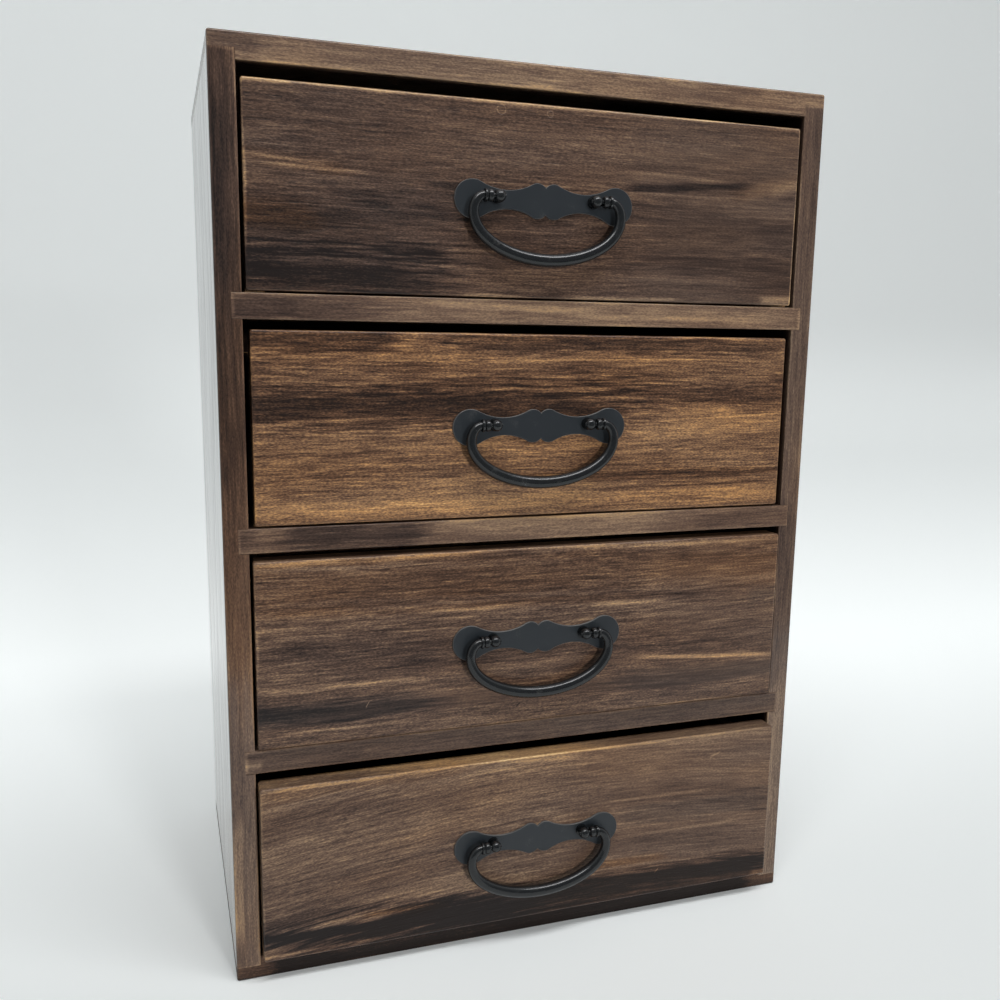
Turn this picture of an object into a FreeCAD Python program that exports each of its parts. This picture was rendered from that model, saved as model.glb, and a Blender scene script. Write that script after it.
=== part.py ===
import FreeCAD, Part
import math
import os

from FreeCAD import Vector

# A wooden chest of four small drawers, each with a hanging bail pull.
# All sizes are in millimetres. X runs to the right, Y to the back and Z up.
# The origin is the centre of the cabinet's underside.

# Cabinet of solid boards
cabinet_width = 250.0
cabinet_depth = 160.0
cabinet_height = 360.0
board = 9.5                                # thickness of the sides, shelves, top and bottom
bay_unevenness = (0.675, -0.825, 0.175, -0.025)   # what each bay, from the top down, has over an even share
joint_depth = 3.8                          # how far a board enters the one that it is housed in
outer_arris = 1.0                          # sanded radius along the cabinet's outer edges
front_arris = 0.5                          # sanded radius round the bays
back_thickness = 3.0                       # plywood back, let into the rear edges
back_lap = 5.0                             # how far the back lies over each board

# Drawers, from the top down: the gaps round the fronts are uneven, as on hand-fitted work
side_gaps = (1.4, 2.3, 1.1, 0.8)           # between the drawer and each side of its bay
top_gaps = (5.1, 3.6, 3.0, 4.2)            # above each front
stand_proud = (0.0, 0.0, 2.0, 6.4)         # how far each drawer stands out of the cabinet
runner_gap = 0.3                           # under the drawer sides, which slide on the shelf
front_lift = 0.4                           # lower edge of the front above that of the sides
front_thickness = 9.2
front_lip = 4.2                            # wood left in front of the sides, which are rebated in
front_edge_radius = 1.0
back_clearance = 0.3                       # behind a drawer that is pushed home
side_thickness = 7.0
side_below_front = 11.0                    # top of the drawer sides below the top of the front
bottom_thickness = 3.0
bottom_height = 3.0                        # underside of the drawer bottom above the side's lower edge
groove_depth = 3.0
groove_play = 0.3                          # room for the bottom to swell in its grooves

# Headless brads of square wire that pin the glued joints
brad_size = 1.1
brad_length = 16.0
panel_brad_length = 11.0                   # brads through the plywood
brad_edge = 14.0                           # distance of the outermost brads from a board's end
drawer_brad_edge = 8.0

# Bail pull: a scalloped backplate, two posts with eyes, nuts behind them and a hanging bail
post_spacing = 40.0
pull_shifts = (0.0, -0.3, -1.0, -0.3)      # middle of each backplate above the middle of its front
post_rise = 1.1                            # posts' line above the middle of the backplate
plate_thickness = 1.0
lobe_radius = 7.3                          # round ends of the backplate
lobe_beyond_post = 9.6
crest_offset = 3.4                         # twin crests beside the notch in the middle
crest_radius = 4.4
crest_heights = (7.1, 6.3)                 # above and below the middle of the backplate
waist_heights = (3.9, 3.2)
hole_clearance = 0.1
post_stand_off = 4.5                       # the bail's axis in front of the wood
ball_radius = 2.35                         # head of a post
ball_width = 3.7                           # between the flats on the head
neck_radius = 1.4
shoulder_radius = 2.5
shoulder_thickness = 0.7
shank_radius = 1.5
nut_width = 5.5                            # across the flats
nut_thickness = 2.4
shank_beyond_nut = 1.0
nut_clearance = 0.03
pin_radius = 0.9
pin_clearance = 0.05
pin_overhang = 0.5                         # end of the bail past the post's inner flat
collar_gap = 0.7                           # side play between a post and the bail's collar
collar_length = 3.6
collar_radius = 2.5
collar_bead = 0.35                         # highest point of the bead along the collar
collar_cove = 0.68                         # groove between the bead and the flange
collar_flange = 0.8                        # where the flange begins
collar_heights = (0.7, 0.95, 0.72)         # of the bead's end, bead and groove, as parts of the radius
bail_drop = 23.2                           # from the bail's axis to the middle of the grip
bail_bow = 10.4                            # widest point of the bail beyond the posts
bail_shoulder = 6.2                        # drop from the axis to the widest point
bail_end_radius = 1.65
bail_side_radius = 2.0
bail_grip_radius = 2.5
bail_curve = 1.98                          # exponent of the bail's lower curve: 2 is an ellipse
shoulder_rings = 4                         # sections along the bend beside a collar
grip_rings = 6                             # sections from the widest point to the middle

half_width = cabinet_width / 2
half_depth = cabinet_depth / 2
even_bay = (cabinet_height - board) / len(bay_unevenness) - board
bay_heights = [even_bay + extra for extra in bay_unevenness]
bay_half_width = half_width - board
lap = board - joint_depth                  # thickness of the top and bottom over the sides
shelf_depth = cabinet_depth - back_thickness
drawer_length = shelf_depth - back_clearance
post_x = post_spacing / 2


def bay_floor(index):
    """Height of the shelf or bottom board that drawer number index runs on."""
    below = bay_heights[index + 1:]
    return board + sum(below) + board * len(below)


def block(x, y, z):
    """A board between two limits along each axis."""
    solid = Part.makeBox(x[1] - x[0], y[1] - y[0], z[1] - z[0])
    solid.translate(Vector(x[0], y[0], z[0]))
    return solid


def rod(start, direction, radius, length):
    return Part.makeCylinder(radius, length, start, direction)


def mirrored(shape):
    """The same piece on the other side of the middle plane."""
    return shape.mirror(Vector(0, 0, 0), Vector(1, 0, 0))


def moved(shape, x, y, z):
    copy = shape.copy()
    copy.translate(Vector(x, y, z))
    return copy


def spread(first, last, count):
    """Evenly spaced places from first to last."""
    return [first + (last - first) * i / (count - 1) for i in range(count)]


def save(name, solids):
    """Write one node: a single solid, or a group of separate ones."""
    shape = solids[0] if len(solids) == 1 else Part.makeCompound(solids)
    shape.exportStep("parts/" + name + ".step")


def eased(solid, radius, faces):
    """Round every straight edge that lies in two of the given planes, each an axis and a place."""
    def lies_in(edge, plane):
        axis, place = plane
        return all(abs(getattr(v.Point, axis) - place) < 1e-6 for v in edge.Vertexes)

    edges = [e for e in solid.Edges if sum(lies_in(e, plane) for plane in faces) >= 2]
    return solid.makeFillet(radius, edges)


def outer_faces():
    """The six planes round the whole cabinet."""
    return [("x", -half_width), ("x", half_width), ("y", -half_depth), ("y", half_depth),
            ("z", 0), ("z", cabinet_height)]


# Cabinet

def back_rebate():
    """The plywood back, and the room for it along the rear inner edges of the boards."""
    reach = bay_half_width + back_lap
    return block((-reach, reach), (half_depth - back_thickness, half_depth),
                 (board - back_lap, cabinet_height - board + back_lap))


def cap_board(top):
    """Top or bottom board: it runs the full width and its ends are rebated over the sides."""
    low = cabinet_height - board if top else 0
    solid = block((-half_width, half_width), (-half_depth, half_depth), (low, low + board))
    solid = eased(solid, outer_arris, outer_faces())
    inner = (low, low + joint_depth) if top else (lap, board)
    for x in ((-half_width, -bay_half_width), (bay_half_width, half_width)):
        solid = solid.cut(block(x, (-half_depth, half_depth), inner))
    mouth = ("z", low if top else board)
    solid = eased(solid, front_arris, [("y", -half_depth), mouth])
    return solid.cut(back_rebate())


def shelf(index):
    """The board under drawer number index, housed in both sides."""
    reach = bay_half_width + joint_depth
    floor = bay_floor(index)
    solid = block((-reach, reach), (-half_depth, half_depth - back_thickness), (floor - board, floor))
    return eased(solid, front_arris, [("y", -half_depth), ("z", floor), ("z", floor - board)])


def right_side():
    """Side board, tenoned into the top and bottom and trenched for the shelves."""
    solid = block((bay_half_width, half_width), (-half_depth, half_depth), (lap, cabinet_height - lap))
    solid = eased(solid, outer_arris, outer_faces())
    solid = eased(solid, front_arris, [("y", -half_depth), ("x", bay_half_width)])
    for index in range(len(bay_heights) - 1):
        floor = bay_floor(index)
        trench = (bay_half_width, bay_half_width + joint_depth)
        solid = solid.cut(block(trench, (-half_depth, half_depth), (floor - board, floor)))
    return solid.cut(back_rebate())


def brad(head, direction, length):
    """A square brad driven along one axis from its flat head."""
    half = brad_size / 2
    point = head + direction * length
    limits = []
    for axis in ("x", "y", "z"):
        ends = sorted((getattr(head, axis), getattr(point, axis)))
        thickness = half if getattr(direction, axis) == 0 else 0
        limits.append((ends[0] - thickness, ends[1] + thickness))
    return block(*limits)


def carcass_brads():
    """Brads through the top, the bottom and the sides into the boards that they hold."""
    depths = spread(-half_depth + brad_edge, half_depth - brad_edge, 3)
    middle = half_width - board / 2
    brads = []
    for y in depths:
        brads.append(brad(Vector(middle, y, cabinet_height), Vector(0, 0, -1), brad_length))
        brads.append(brad(Vector(middle, y, 0), Vector(0, 0, 1), brad_length))
    for index in range(len(bay_heights) - 1):
        height = bay_floor(index) - board / 2
        for y in (depths[0], depths[-1]):
            brads.append(brad(Vector(half_width, y, height), Vector(-1, 0, 0), brad_length))
    return brads + [mirrored(one) for one in brads]


def back_panel_brads():
    """Brads through the plywood back into the rear edges of the sides, top and bottom."""
    outer = bay_half_width + back_lap / 2
    low = board - back_lap / 2
    high = cabinet_height - low
    heights = spread(low + brad_edge, high - brad_edge, 4)
    across = spread(-outer + brad_edge, outer - brad_edge, 3)
    places = [(x, z) for x in (-outer, outer) for z in heights]
    places += [(x, z) for z in (low, high) for x in across]
    return [brad(Vector(x, half_depth, z), Vector(0, -1, 0), panel_brad_length) for x, z in places]


# Drawers

class Drawer:
    """Where the pieces of one drawer lie, worked out from its bay."""

    def __init__(self, index):
        floor = bay_floor(index)
        self.half_width = bay_half_width - side_gaps[index]
        self.face = -half_depth - stand_proud[index]
        self.inner_face = self.face + front_thickness
        self.side_front = self.face + front_lip
        self.rear = self.face + drawer_length
        self.side_bottom = floor + runner_gap
        self.front_bottom = self.side_bottom + front_lift
        self.front_top = floor + bay_heights[index] - top_gaps[index]
        self.side_top = self.front_top - side_below_front
        self.side_inner = self.half_width - side_thickness
        self.panel_bottom = self.side_bottom + bottom_height
        self.panel_top = self.panel_bottom + bottom_thickness
        self.pull_height = (self.front_bottom + self.front_top) / 2 + pull_shifts[index] + post_rise


def drawer_groove(drawer):
    """The space that the bottom's edges enter, a groove deep into the front and the sides."""
    reach = drawer.side_inner + groove_depth
    return block((-reach, reach), (drawer.inner_face - groove_depth, drawer.rear),
                 (drawer.panel_bottom, drawer.panel_top))


def side_space(drawer):
    """The space of the right side, which reaches into a stopped rebate in the back of the front."""
    return block((drawer.side_inner, drawer.half_width), (drawer.side_front, drawer.rear),
                 (drawer.side_bottom, drawer.side_top))


def drawer_front(drawer):
    """Front board with rounded edges, rebated for the sides and drilled for the posts."""
    ends = [("x", -drawer.half_width), ("x", drawer.half_width)]
    levels = [("z", drawer.front_bottom), ("z", drawer.front_top)]
    solid = block((-drawer.half_width, drawer.half_width), (drawer.face, drawer.inner_face),
                  (drawer.front_bottom, drawer.front_top))
    solid = eased(solid, front_edge_radius, [("y", drawer.face)] + ends + levels)
    for x in (-post_x, post_x):
        start = Vector(x, drawer.face, drawer.pull_height)
        solid = solid.cut(rod(start, Vector(0, 1, 0), shank_radius + hole_clearance, front_thickness))
    rebate = side_space(drawer)
    return solid.cut(rebate).cut(mirrored(rebate)).cut(drawer_groove(drawer))


def drawer_side(drawer):
    """Right side of a drawer, grooved for the bottom."""
    top = ("z", drawer.side_top)
    solid = eased(side_space(drawer), front_arris,
                  [("x", drawer.side_inner), ("x", drawer.half_width), top])
    return solid.cut(drawer_groove(drawer))


def drawer_back(drawer):
    """Back of a drawer, between the sides and standing on the bottom."""
    return block((-drawer.side_inner, drawer.side_inner), (drawer.rear - side_thickness, drawer.rear),
                 (drawer.panel_top, drawer.side_top - front_arris))


def drawer_bottom(drawer):
    """Plywood bottom, slid into the grooves from the rear."""
    reach = drawer.side_inner + groove_depth - groove_play
    return block((-reach, reach), (drawer.inner_face - groove_depth + groove_play, drawer.rear),
                 (drawer.panel_bottom, drawer.panel_top))


def drawer_brads(drawer):
    """Brads through the sides into the front and the back, and through the bottom into the back."""
    back_middle = drawer.rear - side_thickness / 2
    front_middle = (drawer.side_front + drawer.inner_face) / 2
    brads = []
    for z in (drawer.panel_top + drawer_brad_edge, drawer.side_top - drawer_brad_edge):
        for y in (front_middle, back_middle):
            brads.append(brad(Vector(drawer.half_width, y, z), Vector(-1, 0, 0), brad_length))
    brads += [mirrored(one) for one in brads]
    for x in spread(-drawer.side_inner + brad_edge, drawer.side_inner - brad_edge, 3):
        brads.append(brad(Vector(x, back_middle, drawer.panel_bottom), Vector(0, 0, 1), panel_brad_length))
    return brads


# Bail pull, modelled with the wood's face at y = 0 and the posts' line at z = 0

def waist_circle(crest, waist):
    """Radius and middle of the hollow circle that touches a crest and a lobe of the backplate."""
    crest_middle = crest - crest_radius
    span = post_x + lobe_beyond_post - crest_offset

    def reaches(radius):
        to_crest = (radius + crest_radius) ** 2 - (waist + radius - crest_middle) ** 2
        to_lobe = (radius + lobe_radius) ** 2 - (waist + radius) ** 2
        return math.sqrt(to_crest), math.sqrt(to_lobe)

    small, large = 0.0, span ** 2
    for step in range(60):
        radius = (small + large) / 2
        if sum(reaches(radius)) < span:
            small = radius
        else:
            large = radius
    return radius, crest_offset + reaches(radius)[0]


def scalloped_edge(crest, waist):
    """Arcs of one long edge of the backplate from the middle notch to the end of the right lobe."""
    radius, waist_x = waist_circle(crest, waist)
    lobe_x = post_x + lobe_beyond_post
    crest_z = crest - crest_radius
    waist_z = waist + radius
    from_crest = crest_radius / (radius + crest_radius)
    from_lobe = lobe_radius / (radius + lobe_radius)
    notch = (0.0, crest_z + math.sqrt(crest_radius ** 2 - crest_offset ** 2))
    peak = (crest_offset, crest)
    first = (crest_offset + (waist_x - crest_offset) * from_crest, crest_z + (waist_z - crest_z) * from_crest)
    hollow = (waist_x, waist)
    second = (lobe_x + (waist_x - lobe_x) * from_lobe, waist_z * from_lobe)
    round_end = (lobe_x + lobe_radius * math.sin(math.pi / 4), lobe_radius * math.cos(math.pi / 4))
    tip = (lobe_x + lobe_radius, 0.0)
    return [(notch, peak, first), (first, hollow, second), (second, round_end, tip)]


def backplate():
    """Flat scalloped plate with a hole for each post."""
    upper = scalloped_edge(crest_heights[0], waist_heights[0])
    lower = scalloped_edge(crest_heights[1], waist_heights[1])
    arcs = []
    for side in (1, -1):
        for points in upper:
            arcs.append([Vector(side * x, 0, z - post_rise) for x, z in points])
        for points in lower:
            arcs.append([Vector(side * x, 0, -z - post_rise) for x, z in points])
    edges = [Part.Arc(*points).toShape() for points in arcs]
    outline = Part.Wire(Part.__sortEdges__(edges))
    solid = Part.Face(outline).extrude(Vector(0, -plate_thickness, 0))
    for x in (-post_x, post_x):
        hole = rod(Vector(x, 0, 0), Vector(0, -1, 0), shank_radius + hole_clearance, plate_thickness)
        solid = solid.cut(hole)
    return solid


def post(x):
    """A post: threaded shank through the wood, shoulder on the plate and flattened ball with an eye."""
    outward = Vector(0, -1, 0)
    shank_end = front_thickness + nut_thickness + shank_beyond_nut
    shank = rod(Vector(x, shank_end, 0), outward, shank_radius, shank_end + plate_thickness)
    shoulder = rod(Vector(x, -plate_thickness, 0), outward, shoulder_radius, shoulder_thickness)
    neck = rod(Vector(x, -plate_thickness, 0), outward, neck_radius, post_stand_off - plate_thickness)
    ball = Part.makeSphere(ball_radius, Vector(x, -post_stand_off, 0))
    reach = 2 * ball_radius
    slab = block((x - ball_width / 2, x + ball_width / 2),
                 (-post_stand_off - reach, -post_stand_off + reach), (-reach, reach))
    solid = shank.multiFuse([shoulder, neck, ball.common(slab)]).removeSplitter()
    eye = rod(Vector(x - reach, -post_stand_off, 0), Vector(1, 0, 0), pin_radius + pin_clearance, 2 * reach)
    return solid.cut(eye)


def nut(x):
    """Hexagonal nut on the inner face of the drawer front."""
    corner = nut_width / math.sqrt(3)
    points = []
    for k in range(7):
        angle = k * math.pi / 3
        points.append(Vector(x + corner * math.cos(angle), front_thickness, corner * math.sin(angle)))
    solid = Part.Face(Part.makePolygon(points)).extrude(Vector(0, nut_thickness, 0))
    bore = rod(Vector(x, front_thickness, 0), Vector(0, 1, 0), shank_radius + nut_clearance, nut_thickness)
    return solid.cut(bore)


def bail_stations():
    """Middle, direction and radius of the bail's round section from its right collar to the grip's middle."""
    start_x = post_x + ball_width / 2 + collar_gap + collar_length
    widest_x = post_x + bail_bow
    bend = widest_x - start_x
    depth = bail_drop - bail_shoulder
    stations = []
    for k in range(shoulder_rings):
        turn = k * math.pi / 2 / (shoulder_rings - 1)
        middle = (start_x + bend * math.sin(turn), -bail_shoulder * (1 - math.cos(turn)))
        along = (bend * math.cos(turn), -bail_shoulder * math.sin(turn))
        radius = bail_end_radius + (bail_side_radius - bail_end_radius) * math.sin(turn)
        stations.append((middle, along, radius))
    power = 2 / bail_curve
    for k in range(1, grip_rings):
        turn = k * math.pi / 2 / grip_rings
        across = math.cos(turn)
        down = math.sin(turn)
        middle = (widest_x * across ** power, -bail_shoulder - depth * down ** power)
        along = (-widest_x * down * across ** (power - 1), -depth * across * down ** (power - 1))
        radius = bail_side_radius + (bail_grip_radius - bail_side_radius) * down
        stations.append((middle, along, radius))
    stations.append(((0, -bail_drop), (-1, 0), bail_grip_radius))
    return stations


def bail():
    """The hanging grip: a round bar, thicker in the middle, with a turned collar and a pin at each end."""
    half = bail_stations()
    other = [((-m[0], m[1]), (a[0], -a[1]), r) for m, a, r in reversed(half[:-1])]
    rings = []
    for middle, along, radius in half + other:
        place = Vector(middle[0], -post_stand_off, middle[1])
        circle = Part.Circle(place, Vector(along[0], 0, along[1]), radius)
        rings.append(Part.Wire(circle.toShape()))
    grip = Part.makeLoft(rings, True, False)
    return grip.multiFuse([collar(), mirrored(collar())]).removeSplitter()


def collar():
    """Turned bead and flange at the bail's right end, with the pin that goes through the post's eye."""
    inner = post_x + ball_width / 2 + collar_gap
    outer = inner + collar_length
    pin_end = post_x - ball_width / 2 - pin_overhang
    bead = inner + collar_bead * collar_length
    cove = inner + collar_cove * collar_length
    flange = inner + collar_flange * collar_length
    end_radius, bead_radius, cove_radius = [collar_radius * part for part in collar_heights]

    def at(x, radius):
        return Vector(x, -post_stand_off, radius)

    edges = [
        Part.makePolygon([at(pin_end, 0), at(pin_end, pin_radius), at(inner, pin_radius),
                          at(inner, end_radius)]),
        Part.Arc(at(inner, end_radius), at(bead, bead_radius), at(cove, cove_radius)).toShape(),
        Part.makePolygon([at(cove, cove_radius), at(flange, collar_radius),
                          at(outer, collar_radius), at(outer, 0), at(pin_end, 0)]),
    ]
    outline = Part.Wire([edge for piece in edges for edge in piece.Edges])
    return Part.Face(outline).revolve(at(0, 0), Vector(1, 0, 0), 360)


def build_cabinet():
    brads = carcass_brads()
    panel_brads = back_panel_brads()
    drilled = Part.makeCompound(brads + panel_brads)
    side = right_side()
    save("top_board", [cap_board(True).cut(drilled)])
    save("bottom_board", [cap_board(False).cut(drilled)])
    save("right_side", [side.cut(drilled)])
    save("left_side", [mirrored(side).cut(drilled)])
    for index in range(len(bay_heights) - 1):
        save("shelf_%d" % (index + 1), [shelf(index).cut(drilled)])
    save("back_panel", [back_rebate().cut(drilled)])
    save("carcass_brads", brads)
    save("back_panel_brads", panel_brads)


def build_drawer(index):
    drawer = Drawer(index)
    name = "drawer_%d_" % (index + 1)
    brads = drawer_brads(drawer)
    drilled = Part.makeCompound(brads)
    side = drawer_side(drawer)
    save(name + "front", [drawer_front(drawer).cut(drilled)])
    save(name + "right_side", [side.cut(drilled)])
    save(name + "left_side", [mirrored(side).cut(drilled)])
    save(name + "back", [drawer_back(drawer).cut(drilled)])
    save(name + "bottom", [drawer_bottom(drawer).cut(drilled)])
    save(name + "brads", brads)
    fittings = {
        name + "backplate": [backplate()],
        name + "posts": [post(-post_x), post(post_x)],
        name + "nuts": [nut(-post_x), nut(post_x)],
        "bail_%d" % (index + 1): [bail()],
    }
    for fitting, solids in fittings.items():
        save(fitting, [moved(solid, 0, drawer.face, drawer.pull_height) for solid in solids])


os.makedirs("parts", exist_ok=True)
build_cabinet()
for number in range(len(bay_heights)):
    build_drawer(number)
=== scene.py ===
"""Finishes, fine pieces and studio for the packed jewellery box with four drawers.

The packed boards, posts, nuts and brads keep their shapes and get their finishes here. The pulls'
backplates and bails are built again with more detail.
Lengths are in metres, x runs to the right, y to the back and z up, as in the packed model.
"""

import math
from collections import namedtuple
from functools import partial

import bmesh
import bpy
from bpy.props import FloatProperty, FloatVectorProperty, IntProperty, PointerProperty
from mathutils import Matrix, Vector


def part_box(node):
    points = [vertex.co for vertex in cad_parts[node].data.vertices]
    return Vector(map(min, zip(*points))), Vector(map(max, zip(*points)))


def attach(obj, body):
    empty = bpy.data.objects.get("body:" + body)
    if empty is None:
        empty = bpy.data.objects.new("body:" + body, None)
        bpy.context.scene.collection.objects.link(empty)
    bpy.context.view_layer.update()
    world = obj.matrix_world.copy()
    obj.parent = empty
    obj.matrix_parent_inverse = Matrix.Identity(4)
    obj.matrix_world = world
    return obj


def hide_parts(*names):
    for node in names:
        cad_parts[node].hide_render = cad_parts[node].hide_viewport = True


bl_info = {
    "name": "Jewellery box finish",
    "version": (1, 0, 0),
    "blender": (4, 5, 0),
    "location": "3D View > Sidebar > Jewellery box",
    "description": "Torched wood, black drop pulls and a plain studio for a box with four drawers",
    "category": "Object",
}

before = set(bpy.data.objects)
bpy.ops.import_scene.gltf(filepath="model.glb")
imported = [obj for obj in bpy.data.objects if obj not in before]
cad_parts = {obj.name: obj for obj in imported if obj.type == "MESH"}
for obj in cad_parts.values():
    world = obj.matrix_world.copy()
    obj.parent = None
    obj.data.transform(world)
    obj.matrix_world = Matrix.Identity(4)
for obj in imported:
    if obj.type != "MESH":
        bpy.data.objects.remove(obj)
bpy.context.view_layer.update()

MM = 0.001
DRAWERS = (1, 2, 3, 4)
COLOUR = dict(subtype="COLOR", size=3, min=0, max=1)
LENGTH = dict(unit="LENGTH", min=0)
SHARE = dict(subtype="FACTOR", min=0, max=1)
FRONT_GRAIN, SIDE_GRAIN, UPRIGHT_GRAIN = "X", "Y", "Z"
RED_TINT, GREY_TINT = (1.10, 0.92, 0.68), (0.90, 1.0, 1.10)
WANDER, TREMBLE, PATCHES = (9, 34, 34), (70, 160, 160), (26, 26, 26)    # bends and spots per metre

Mark = namedtuple("Mark", "kind start_along start_across end_along end_across thickness strength")
# Its kind is "tone", which lightens or darkens, "red", "grey", or "haze", which veils the grain. The
# wide haze and grey marks over the right-hand parts of the fronts are a painted sheen.
Mark.__doc__ = """A streak, band or patch on a board, in millimetres along and across its grain.

Its kind is "tone", which lightens or darkens, "red", "grey", or "haze", which veils the grain.
Along a front or shelf, 0 is the middle of the cabinet, and across it 0 is the lower edge. Along an
upright board, 0 is its lower end, and across it 0 is its left face.
"""

Tone, Red, Grey, Haze = (partial(Mark, kind) for kind in ("tone", "red", "grey", "haze"))

Dent = namedtuple("Dent", "along across radius")
Dent.__doc__ = """A ring pressed into a front, in millimetres from its middle and its lower edge."""


def colour(red, green, blue):
    """Linear colour of a display colour with parts from 0 to 255."""
    parts = [part / 255 for part in (red, green, blue)]
    return tuple(p / 12.92 if p <= 0.04045 else ((p + 0.055) / 1.055) ** 2.4 for p in parts)


def opaque(linear):
    return (*linear, 1.0)


class Socket:
    """Output of a node. Arithmetic on it adds Math nodes to its tree."""

    def __init__(self, tree, socket):
        self.tree = tree
        self.socket = socket

    def output(self, name):
        return Socket(self.tree, self.socket.node.outputs[name])

    def __add__(self, other):
        return self.tree.maths("ADD", self, other)

    def __radd__(self, other):
        return self.tree.maths("ADD", other, self)

    def __sub__(self, other):
        return self.tree.maths("SUBTRACT", self, other)

    def __rsub__(self, other):
        return self.tree.maths("SUBTRACT", other, self)

    def __mul__(self, other):
        return self.tree.maths("MULTIPLY", self, other)

    def __rmul__(self, other):
        return self.tree.maths("MULTIPLY", other, self)

    def __truediv__(self, other):
        return self.tree.maths("DIVIDE", self, other)

    def __rtruediv__(self, other):
        return self.tree.maths("DIVIDE", other, self)

    def __pow__(self, other):
        return self.tree.maths("POWER", self, other)

    def __abs__(self):
        return self.tree.maths("ABSOLUTE", self)


class Tree:
    """A shader or geometry tree, built in order with one node for each call of add."""

    def __init__(self, node_tree):
        self.node_tree = node_tree

    def add(self, kind, settings=None, sockets=None, output=0):
        """A node with its settings, then the values or links of its sockets, as one of its outputs."""
        node = self.node_tree.nodes.new(kind)
        for name, value in (settings or {}).items():
            if name == "stops":
                self.set_stops(node.color_ramp.elements, value)
            else:
                setattr(node, name, value)
        for name, value in (sockets or {}).items():
            for part in value if isinstance(value, list) else [value]:
                if isinstance(part, Socket):
                    self.node_tree.links.new(part.socket, node.inputs[name])
                else:
                    node.inputs[name].default_value = part
        return Socket(self, node.outputs[output]) if node.outputs else None

    def set_stops(self, elements, stops):
        while len(elements) < len(stops):
            elements.new(1.0)
        for element, (position, linear) in zip(elements, stops):
            element.position = position
            element.color = opaque(linear)

    def maths(self, operation, *values):
        return self.add("ShaderNodeMath", {"operation": operation}, dict(enumerate(values)))

    def place(self):
        """Position on the piece, in the cabinet's own directions."""
        return self.add("ShaderNodeTexCoord").output("Object")

    def split(self, vector):
        x = self.add("ShaderNodeSeparateXYZ", None, {"Vector": vector})
        return x, x.output("Y"), x.output("Z")

    def join(self, x, y, z):
        return self.add("ShaderNodeCombineXYZ", None, {"X": x, "Y": y, "Z": z})

    def smooth(self, value, low, high):
        """0 up to low and 1 from high, or the other way round, with a smooth step between."""
        return self.add(
            "ShaderNodeMapRange",
            {"interpolation_type": "SMOOTHSTEP"},
            {"Value": value, "From Min": low, "From Max": high},
        )

    def noise(self, vector, scale, seed, detail=2.0, roughness=0.5):
        """Noise around 0 that is stretched by a scale for each direction."""
        start = (seed, 1.7 * seed, 0.6 * seed)
        mapping = {"Vector": vector, "Location": start, "Scale": scale}
        moved = self.add("ShaderNodeMapping", None, mapping)
        values = {"Vector": moved, "Scale": 1.0, "Detail": detail, "Roughness": roughness}
        return self.add("ShaderNodeTexNoise", None, values) - 0.5

    def mix(self, factor, first, second, blend="MIX"):
        """Mixes two colours, either of which may be a socket or a linear colour."""
        ends = [opaque(end) if isinstance(end, tuple) else end for end in (first, second)]
        sockets = {0: factor, 6: ends[0], 7: ends[1]}
        return self.add("ShaderNodeMix", {"data_type": "RGBA", "blend_type": blend}, sockets, output=2)

    def bump(self, height, depth):
        """Normals of a surface whose relief is that deep."""
        return self.add("ShaderNodeBump", None, {"Height": height, "Distance": depth})

    def surface(self, one_sided=False, **sockets):
        """Ends a material with a Principled shader. Underscores stand for the spaces in names.

        A one-sided surface is clear from behind.
        """
        named = {name.replace("_", " "): value for name, value in sockets.items()}
        shader = self.add("ShaderNodeBsdfPrincipled", None, named)
        if one_sided:
            clear = self.add("ShaderNodeBsdfTransparent")
            behind = self.add("ShaderNodeNewGeometry", output="Backfacing")
            shader = self.add("ShaderNodeMixShader", None, {0: behind, 1: shader, 2: clear})
        self.add("ShaderNodeOutputMaterial", None, {"Surface": shader})


def new_material(name):
    material = bpy.data.materials.new(name)
    material.use_nodes = True
    material.node_tree.nodes.clear()
    return material, Tree(material.node_tree)


def settings():
    return bpy.context.scene.jewellery_box


def coat(node, material):
    """Gives a packed node its finish."""
    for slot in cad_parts[node].material_slots:
        slot.material = material


def placed(name, data):
    """A new object of the scene, at the origin."""
    piece = bpy.data.objects.new(name, data)
    bpy.context.scene.collection.objects.link(piece)
    return piece


class WoodSettings(bpy.types.PropertyGroup):
    """Colours and grain of the torched, brushed and varnished boards."""

    char: FloatVectorProperty(
        name="Char", description="Where the torch burned deepest", default=colour(24, 17, 15), **COLOUR)
    umber: FloatVectorProperty(
        name="Umber", description="Dark streaks", default=colour(57, 42, 35), **COLOUR)
    brown: FloatVectorProperty(
        name="Brown", description="Main ground", default=colour(91, 70, 57), **COLOUR)
    tan: FloatVectorProperty(
        name="Tan", description="Light streaks", default=colour(127, 102, 80), **COLOUR)
    honey: FloatVectorProperty(
        name="Honey", description="Golden streaks and worn edges", default=colour(166, 131, 92),
        **COLOUR)
    straw: FloatVectorProperty(
        name="Straw", description="Bare wood on the sharpest edges", default=colour(208, 176, 128),
        **COLOUR)
    fibre_width: FloatProperty(
        name="Fibre width", description="Distance between fine grain lines", default=0.95 * MM,
        unit="LENGTH", min=0.2 * MM)
    fibre_length: FloatProperty(
        name="Fibre length", description="Length of a fine grain line", default=15 * MM,
        unit="LENGTH", min=1 * MM)
    waviness: FloatProperty(
        name="Waviness", description="How far a grain line wanders", default=1.5 * MM, **LENGTH)
    relief: FloatProperty(
        name="Relief", description="Depth of the brushed grain", default=0.16 * MM, **LENGTH)
    wear: FloatProperty(
        name="Worn edge", description="Width of the lighter worn edge", default=1.1 * MM,
        unit="LENGTH", min=0.1 * MM)
    varnish: FloatProperty(
        name="Varnish", description="How much clear varnish lies over the wood", default=0.7, **SHARE)
    varnish_roughness: FloatProperty(
        name="Varnish roughness", description="Dullness of the varnish", default=0.2, **SHARE)
    roughness: FloatProperty(
        name="Roughness", description="Dullness of the wood under the varnish", default=0.46, **SHARE)


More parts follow.
